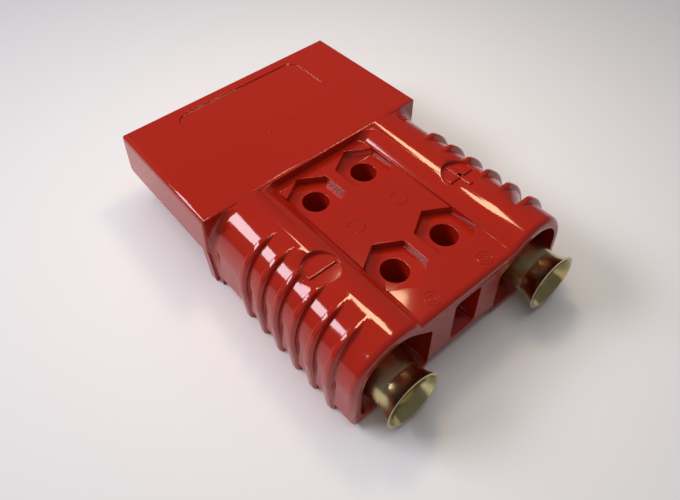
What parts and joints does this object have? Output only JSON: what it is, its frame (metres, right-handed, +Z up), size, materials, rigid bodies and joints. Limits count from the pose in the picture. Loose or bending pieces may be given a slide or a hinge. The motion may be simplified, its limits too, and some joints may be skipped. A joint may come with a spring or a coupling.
{
  "type": "genderless power connector",
  "caption": "Genderless battery power connector: red moulded housing with flat mating hood, ribbed round barrels, hexagonal nut pockets and flared plated wire contacts.",
  "frame": {"origin": "centre of the bounding box at the resting underside", "axes": "+Y out of the mating end, +Z up through the hood, +X towards the positive pole"},
  "size_m": [0.068, 0.094, 0.023],
  "materials": {
    "housing_plastic": "glossy injection-moulded red polycarbonate",
    "contact_metal": "bright plated copper alloy with fine turning marks",
    "spring_steel": "plain cold-rolled stainless strip"
  },
  "bodies": {
    "root": {"housing": "housing_plastic", "contact_positive": "contact_metal", "contact_negative": "contact_metal", "spring_positive": "spring_steel", "spring_negative": "spring_steel"}
  },
  "joints": []
}
